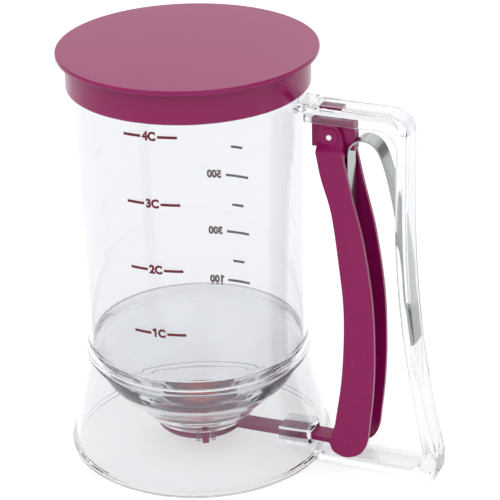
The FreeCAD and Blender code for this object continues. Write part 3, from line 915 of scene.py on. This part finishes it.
@dataclass
class Valve:
    """The magenta dish under the outlet with its sliding gate, pull bar, seal and pins."""

    r: float = 20.4
    wall: float = 2.0
    floor_z: float = 6.6
    floor_t: float = 2.0
    top_z: float = 12.0
    dish_r: float = 15.6        # where the flat floor turns up into the rounded side
    dish_in: float = 0.6        # how much sooner its inside does
    round_out: Point = (1.25, 4.2)      # depth of the outer rounding's middle, and its height
    round_in: Point = (0.8, 4.6)
    sunk: float = 0.4           # how far a rib sinks into what carries it
    edge_r: float = 0.3
    drop_r: float = 9.0
    window_half_w: float = 13.6
    runner: tuple[float, float] = (13.0, 14.6)
    runner_x: float = -12.0
    rib_half_w: float = 1.5
    rib_out: float = 1.6
    rib_angles: tuple[float, ...] = (-61.0, 59.0, 179.0)
    gate_r: float = 12.6
    gate_z: tuple[float, float] = (9.0, 11.4)
    bar_half_w: float = 4.5
    bar_root: float = 1.2
    bar_edge_r: float = 0.4
    eye_r: float = 2.9
    link_pin_r: float = 1.6
    link_pin_half: float = 8.0
    pin_edge_r: float = 0.25
    seal_r: float = 10.3
    seal_gap: float = 0.1
    seal_edge_r: float = 0.2
    seal_z: tuple[float, float, float] = (10.35, 11.4, 11.7)
    seal_lip: tuple[float, float] = (7.8, 8.8)
    pivot_pin_r: float = 1.3
    pivot_pin_half: float = 5.5

    def dish(self, magenta: bpy.types.Material) -> None:
        """Make the rounded dish with its window towards the handle."""
        inner_r, floor_top = self.r - self.wall, self.floor_z + self.floor_t
        depth, rise = self.round_out
        side = Outline.at((self.drop_r, self.floor_z), (self.dish_r, self.floor_z))
        side.arc((self.r - depth, self.floor_z + depth), (self.r, self.floor_z + rise), steps=8)
        depth, rise = self.round_in
        side.line((self.r, self.top_z), (inner_r, self.top_z), (inner_r, self.floor_z + rise))
        side.arc((inner_r - depth, floor_top + depth), (self.dish_r - self.dish_in, floor_top), steps=6)
        side.line((self.drop_r, floor_top))
        body = Blank.turned(side.eased(self.edge_r), 96)
        way = self.window_half_w
        body.cut(Blank.box(0, self.r + PAST, -way, way, floor_top, self.top_z + PAST))
        low, high = floor_top - self.sunk, self.top_z - SKIM
        inside = Blank.drum(self.r - self.wall / 2, low, high, 96)
        for sign in (-1, 1):
            y0, y1 = sorted((sign * self.runner[0], sign * self.runner[1]))
            runner = Blank.box(self.runner_x, self.r, y0, y1, low, high)
            body.add(runner.kept_in(inside))
        for angle in self.rib_angles:
            rib = Blank.box(self.r - self.wall / 2, self.r + self.rib_out, -self.rib_half_w, self.rib_half_w,
                            self.floor_z, self.top_z)
            body.add(rib.softened(self.bar_edge_r, 3).turned_by(angle))
        body.piece("valve_dish", magenta, Body.VESSEL, Slot.COLOURED, "valve_housing")

    def gate(self, magenta: bpy.types.Material, rubber: bpy.types.Material) -> None:
        """Make the gate plate with its pull bar, and the seal in it."""
        z0, z1 = self.gate_z
        recess_r = self.seal_r + self.seal_gap
        plate = Outline.at((0, z0), (self.gate_r, z0), (self.gate_r, z1), (recess_r, z1),
                           (recess_r, self.seal_z[0]), (0, self.seal_z[0]))
        body = Blank.turned(plate.eased(self.edge_r), 96)
        bar = Blank.box(self.seal_r + self.bar_root, LINK[0], -self.bar_half_w, self.bar_half_w, z0, z1)
        eye = Blank.cross_pin(self.eye_r, *LINK, -self.bar_half_w, self.bar_half_w)
        body.add(bar.add(eye).softened(self.bar_edge_r, 3, SHARP))
        wide = self.link_pin_half + PAST
        body.cut(Blank.cross_pin(self.link_pin_r + SKIM, *LINK, -wide, wide))
        body.piece("gate_and_bar", magenta, Body.GATE, Slot.COLOURED, "valve_gate")
        low, top, lip_top = self.seal_z
        lip_in, lip_out = self.seal_lip
        disc = Outline.at((0, low), (self.seal_r, low), (self.seal_r, top), (lip_out, top),
                          (lip_out, lip_top), (lip_in, lip_top), (lip_in, top), (0, top))
        seal = Blank.turned(disc.eased(self.seal_edge_r), 96)
        seal.piece("seal", rubber, Body.GATE, Slot.RUBBER, "gate_seal")

    def pins(self, steel: bpy.types.Material) -> None:
        """Make the cross pin of the bar and the pivot pin of the trigger."""
        half = self.link_pin_half
        cross = Blank.cross_pin(self.link_pin_r, *LINK, -half, half).softened(self.pin_edge_r, 3, 50.0)
        cross.piece("cross_pin", steel, Body.GATE, Slot.PIN, "link_pin")
        half = self.pivot_pin_half
        hinge = Blank.cross_pin(self.pivot_pin_r, *PIVOT, -half, half).softened(self.pin_edge_r, 3, 50.0)
        hinge.piece("pivot_pin_turned", steel, Body.VESSEL, Slot.PIN, "pivot_pin")


class Side(Enum):
    """The side of the cup that a scale is printed on, by the angle of its middle line in degrees."""

    CUPS = -84.5
    MILLILITRES = 90.0


@dataclass
class Scales:
    """The two volume scales, printed on the outside of the cup."""

    cup: Cup = field(default_factory=Cup)
    cup_heights: tuple[float, ...] = (76.2, 106.8, 137.6, 168.1)
    cup_text_h: float = 4.1
    dash: tuple[float, float] = (7.9, 8.4)      # length left and right of the words
    dash_gap: float = 0.7
    line_t: float = 1.25
    cap_share: float = 0.78                     # height of a capital, as a share of the font's size
    boldness: float = 0.3
    narrowing: float = 0.9
    upstroke_run: tuple[float, float] = (-1.25, 0.1)
    upstroke_turn: float = 0.6                  # radians
    upstroke_at: Point = (0.35, -0.5)           # from the figure's top left
    tick_heights: tuple[float, ...] = (55.2, 65.6, 80.6, 94.6, 109.4, 123.9)
    tick_long: float = 11.7
    tick_short: float = 6.0
    number_h: float = 4.0
    number_angle: float = 103.0
    film: float = 0.03
    lift: float = 0.02

    def wrapped(self, flat: bmesh.types.BMesh, angle: float, z: float) -> None:
        """Wrap a flat drawing round the cup's wall.

        Args:
            flat: The drawing in millimetres, with x along the wall, y up and z outwards.
            angle: Where its middle goes, in degrees.
            z: The height of its middle.
        """
        for v in flat.verts:
            height = z + v.co.y
            r = self.cup.radius(height) + self.lift + v.co.z
            turn = math.radians(angle) + v.co.x / r
            v.co = Vector((r * math.cos(turn), r * math.sin(turn), height)) * MM

    def words(self, text: str, height: float) -> bmesh.types.BMesh:
        """Draw bold words flat, centred, as a thin film.

        Args:
            text: What they say.
            height: The height of a capital, in millimetres.

        Returns:
            The drawing, in millimetres.
        """
        curve = bpy.data.curves.new(text, "FONT")
        curve.body, curve.align_x, curve.align_y = text, "CENTER", "CENTER"
        curve.size, curve.offset, curve.extrude = height / self.cap_share, self.boldness, self.film / 2
        curve.resolution_u = 4
        drawn = in_scene(text, curve)
        bpy.context.view_layer.update()
        mesh = bpy.data.meshes.new_from_object(drawn.evaluated_get(bpy.context.evaluated_depsgraph_get()))
        flat = bmesh.new()
        flat.from_mesh(mesh)
        bpy.data.objects.remove(drawn)
        bpy.data.meshes.remove(mesh)
        bmesh.ops.remove_doubles(flat, verts=flat.verts, dist=1e-4)
        bmesh.ops.scale(flat, verts=flat.verts, vec=(self.narrowing, 1, 1))
        return flat

    def upstroke(self, word: bmesh.types.BMesh) -> bmesh.types.BMesh:
        """Draw the short upstroke of a figure one that starts a word."""
        stroke = self.bar(*self.upstroke_run)
        bmesh.ops.rotate(stroke, verts=stroke.verts, cent=(0, 0, 0),
                         matrix=Matrix.Rotation(self.upstroke_turn, 3, "Z"))
        corner = (min(v.co.x for v in word.verts), max(v.co.y for v in word.verts))
        bmesh.ops.translate(stroke, verts=stroke.verts, vec=(*aside(corner, *self.upstroke_at), 0))
        return stroke

    def bar(self, x0: float, x1: float) -> bmesh.types.BMesh:
        """Draw one printed line flat, as a thin film."""
        flat = bmesh.new()
        bmesh.ops.create_grid(flat, x_segments=12, y_segments=1, size=0.5)
        bmesh.ops.scale(flat, verts=flat.verts, vec=(x1 - x0, self.line_t, 1))
        bmesh.ops.translate(flat, verts=flat.verts, vec=((x0 + x1) / 2, 0, -self.film / 2))
        grown = bmesh.ops.extrude_face_region(flat, geom=flat.faces[:])
        top = [v for v in grown["geom"] if isinstance(v, bmesh.types.BMVert)]
        bmesh.ops.translate(flat, verts=top, vec=(0, 0, self.film))
        return flat

    def joined(self, name: str, parts: list[bmesh.types.BMesh], ink: bpy.types.Material) -> None:
        """Finish a row of drawings as one piece."""
        whole = bmesh.new()
        for part in parts:
            mesh = bpy.data.meshes.new("part")
            part.to_mesh(mesh)
            whole.from_mesh(mesh)
            bpy.data.meshes.remove(mesh)
            part.free()
        Blank(whole).outward().piece(name, ink, Body.VESSEL, Slot.COLOURED)

    def build(self, ink: bpy.types.Material) -> None:
        """Print both scales."""
        near: list[bmesh.types.BMesh] = []
        for count, z in enumerate(self.cup_heights, start=1):
            word = self.words(f"{count}C", self.cup_text_h)
            half = max(v.co.x for v in word.verts) + self.dash_gap
            row = [word, self.bar(-half - self.dash[0], -half), self.bar(half, half + self.dash[1])]
            if count == 1:
                row.append(self.upstroke(word))
            for flat in row:
                self.wrapped(flat, Side.CUPS.value, z)
            near.extend(row)
        self.joined("cup_scale", near, ink)
        far: list[bmesh.types.BMesh] = []
        for count, z in enumerate(self.tick_heights, start=1):
            numbered = count % 2 == 1
            reach = (self.tick_long if numbered else self.tick_short) / 2
            tick = self.bar(-reach, reach)
            self.wrapped(tick, Side.MILLILITRES.value, z)
            far.append(tick)
            if numbered:
                number = [self.words(f"{count}00", self.number_h)]
                if count == 1:
                    number.append(self.upstroke(number[0]))
                for flat in number:
                    self.wrapped(flat, self.number_angle, z)
                far.extend(number)
        self.joined("millilitre_scale", far, ink)


@dataclass(frozen=True)
class Lamp:
    """One large soft lamp: where it hangs and how wide it is, in metres, and its power in watts."""

    name: str
    place: tuple[float, float, float]
    width: float
    watts: float

    def hang(self, aim: Vector) -> None:
        """Hang the lamp so that it faces a point."""
        light = bpy.data.lights.new(self.name, "AREA")
        light.shape, light.size, light.energy = "DISK", self.width, self.watts
        made = in_scene(self.name, light)
        made.location = self.place
        made.rotation_euler = (aim - Vector(self.place)).to_track_quat("-Z", "Y").to_euler()


@dataclass
class Studio:
    """The pale floor, the soft lamps and the camera."""

    azimuth: float = 24.9
    elevation: float = 24.901
    distance_mm: float = 919.73
    aim_z_mm: float = 96.01
    yaw: float = -1.529
    pitch: float = -0.231
    roll: float = 2.214
    lens: float = 147.97
    sensor: float = 36.0
    clip: tuple[float, float] = (0.05, 20.0)
    floor_r: float = 3.0
    floor_drop: float = 0.0002
    paper: str = "C6C6C6"
    paper_glow: float = 0.6                 # what the paper adds so that it shows white
    faces_deep: int = 32                    # clear faces that light is followed through
    world_level: float = 0.8                # how bright the room is where it lights the object
    room_edge: tuple[float, float] = (0.45, 0.85)
    zenith_in_gloss: float = 0.12           # how bright the room overhead is in steel and on gloss
    zenith_through_clear: float = 0.62      # and as seen through clear plastic
    card_edge: tuple[float, float] = (0.5, 0.85)
    card_level: float = 0.32                # how bright the grey cards beside the object are
    lamps: tuple[Lamp, ...] = (Lamp("key", (-0.9, -1.1, 1.5), 2.4, 11.0),
                               Lamp("fill", (1.5, -0.9, 0.9), 2.0, 4.8),
                               Lamp("back", (0.3, 1.5, 1.4), 2.4, 6.2))
    lamp_aim: tuple[float, float, float] = (0.0, 0.0, 0.09)

    def floor(self) -> None:
        """Lay the floor."""
        bm = bmesh.new()
        bmesh.ops.create_circle(bm, cap_ends=True, segments=96, radius=self.floor_r)
        bmesh.ops.translate(bm, verts=bm.verts, vec=(0, 0, -self.floor_drop))
        mesh = bpy.data.meshes.new("floor")
        bm.to_mesh(mesh)
        bm.free()
        made = in_scene("floor", mesh)
        mesh.materials.append(self.floor_paper())

    def floor_paper(self) -> bpy.types.Material:
        """Seamless pale paper, whose glow shows it white and which keeps the object's shadow."""
        made = bpy.data.materials.new("white_paper")
        tree = empty_tree(made)
        path = add_node(tree, "ShaderNodeLightPath")
        seen = self.seen_directly(tree, path)
        paper = add_node(tree, "ShaderNodeBsdfDiffuse", {"Color": linear(self.paper)})
        level = add_node(tree, "ShaderNodeMath", {"operation": "MULTIPLY", 1: self.paper_glow}, {0: seen})
        glow = add_node(tree, "ShaderNodeEmission", {"Color": linear("FFFFFF")},
                        {"Strength": level.outputs[0]})
        both = add_node(tree, "ShaderNodeAddShader", None, {0: paper.outputs[0], 1: glow.outputs[0]})
        add_node(tree, "ShaderNodeOutputMaterial", None, {"Surface": both.outputs[0]})
        return made

    @staticmethod
    def seen_directly(tree: bpy.types.NodeTree, path: bpy.types.Node) -> bpy.types.NodeSocket:
        """Return 1 for camera, glossy and transmission rays, and 0 for the rest."""
        first = add_node(tree, "ShaderNodeMath", {"operation": "MAXIMUM"},
                         {0: path.outputs["Is Camera Ray"], 1: path.outputs["Is Glossy Ray"]})
        both = add_node(tree, "ShaderNodeMath", {"operation": "MAXIMUM"},
                        {0: first.outputs[0], 1: path.outputs["Is Transmission Ray"]})
        return both.outputs[0]

    @staticmethod
    def faded(tree: bpy.types.NodeTree, value: bpy.types.NodeSocket, edge: tuple[float, float],
              level: float) -> bpy.types.NodeSocket:
        """Let the light fall softly to a lower level where a value rises.

        Args:
            tree: The node tree.
            value: What it depends on.
            edge: Where the fall starts and ends.
            level: What is left of it.

        Returns:
            The share that is left, from 1 down to the level.
        """
        return add_node(tree, "ShaderNodeMapRange",
                        {"From Min": edge[0], "From Max": edge[1], "To Min": 1.0, "To Max": level,
                         "interpolation_type": "SMOOTHSTEP"}, {"Value": value}).outputs["Result"]

    def surroundings(self) -> None:
        """Surround the object with white at the horizon and a darker room above it."""
        world = bpy.data.worlds.new("studio")
        bpy.context.scene.world = world
        tree = empty_tree(world)
        path = add_node(tree, "ShaderNodeLightPath")
        seen = self.seen_directly(tree, path)
        where = add_node(tree, "ShaderNodeTexCoord")
        split = add_node(tree, "ShaderNodeSeparateXYZ", None, {0: where.outputs["Generated"]})
        glossy, clear = (self.faded(tree, split.outputs["Z"], self.room_edge, zenith)
                         for zenith in (self.zenith_in_gloss, self.zenith_through_clear))
        shown = add_node(tree, "ShaderNodeMix", {"data_type": "FLOAT"},
                         {0: path.outputs["Is Transmission Ray"], 2: glossy, 3: clear})
        # Grey cards stand at both sides of the camera's line, so that clear edges draw a darker line.
        across = math.radians(self.azimuth)
        aside_of = add_node(tree, "ShaderNodeVectorMath",
                            {"operation": "DOT_PRODUCT", 1: (math.cos(across), math.sin(across), 0)},
                            {0: where.outputs["Generated"]})
        either = add_node(tree, "ShaderNodeMath", {"operation": "ABSOLUTE"}, {0: aside_of.outputs["Value"]})
        cards = self.faded(tree, either.outputs[0], self.card_edge, self.card_level)
        carded = add_node(tree, "ShaderNodeMath", {"operation": "MULTIPLY"}, {0: shown.outputs[0], 1: cards})
        lit = add_node(tree, "ShaderNodeMix", {"data_type": "FLOAT", 2: self.world_level},
                       {0: seen, 3: carded.outputs[0]})
        glow = add_node(tree, "ShaderNodeBackground", {"Color": linear("FFFFFF")},
                        {"Strength": lit.outputs[0]})
        add_node(tree, "ShaderNodeOutputWorld", None, {"Surface": glow.outputs[0]})

    def camera(self) -> None:
        """Stand the camera where the photograph was taken."""
        a, e = math.radians(self.azimuth), math.radians(self.elevation)
        away = Vector((math.sin(a) * math.cos(e), -math.cos(a) * math.cos(e), math.sin(e)))
        fwd, right = -away, Vector((math.cos(a), math.sin(a), 0))
        up = right.cross(fwd)
        for axis, turned, degrees in (("up", "fwd right", self.yaw), ("right", "fwd up", self.pitch),
                                      ("fwd", "right up", self.roll)):
            about = {"up": up, "right": right, "fwd": fwd}[axis].copy()
            for vector in {"fwd right": (fwd, right), "fwd up": (fwd, up), "right up": (right, up)}[turned]:
                vector.rotate(Matrix.Rotation(math.radians(degrees), 3, about))
        data = bpy.data.cameras.new("camera")
        data.lens, data.sensor_width, data.sensor_fit = self.lens, self.sensor, "HORIZONTAL"
        data.clip_start, data.clip_end = self.clip
        made = in_scene("camera", data)
        basis = Matrix((right, up, -fwd)).transposed().to_4x4()
        place = away * self.distance_mm * MM + Vector((0, 0, self.aim_z_mm * MM))
        made.matrix_world = Matrix.Translation(place) @ basis
        bpy.context.scene.camera = made

    def build(self) -> None:
        """Set the whole studio up."""
        self.floor()
        self.surroundings()
        for lamp in self.lamps:
            lamp.hang(Vector(self.lamp_aim))
        self.camera()
        scene = bpy.context.scene
        scene.view_settings.view_transform = "Standard"
        # Clear walls stand one behind another, so light is followed through all of their faces.
        scene.cycles.max_bounces = scene.cycles.transmission_bounces = self.faces_deep
        scene.cycles.transparent_max_bounces = self.faces_deep
        scene.cycles.glossy_bounces = self.faces_deep // 2


def main() -> None:
    """Build every piece in order, then light and frame the object."""
    logging.basicConfig(level=logging.INFO, format="%(name)s: %(message)s")
    clear, magenta, steel = CLEAR_STYRENE.material(), MAGENTA_ABS.material(), DRAWN_STEEL.material()
    Cup().build(clear)
    Foot().build(clear)
    Handle().build(clear)
    Lid().build(MAGENTA_ABS_LID.material())
    Trigger().build(magenta)
    Spring().build(ROLLED_STEEL.material())
    valve = Valve()
    valve.dish(magenta)
    valve.gate(magenta, RED_SILICONE.material())
    valve.pins(steel)
    Scales().build(MAROON_INK.material())
    Studio().build()


if __name__ == "__main__":
    main()
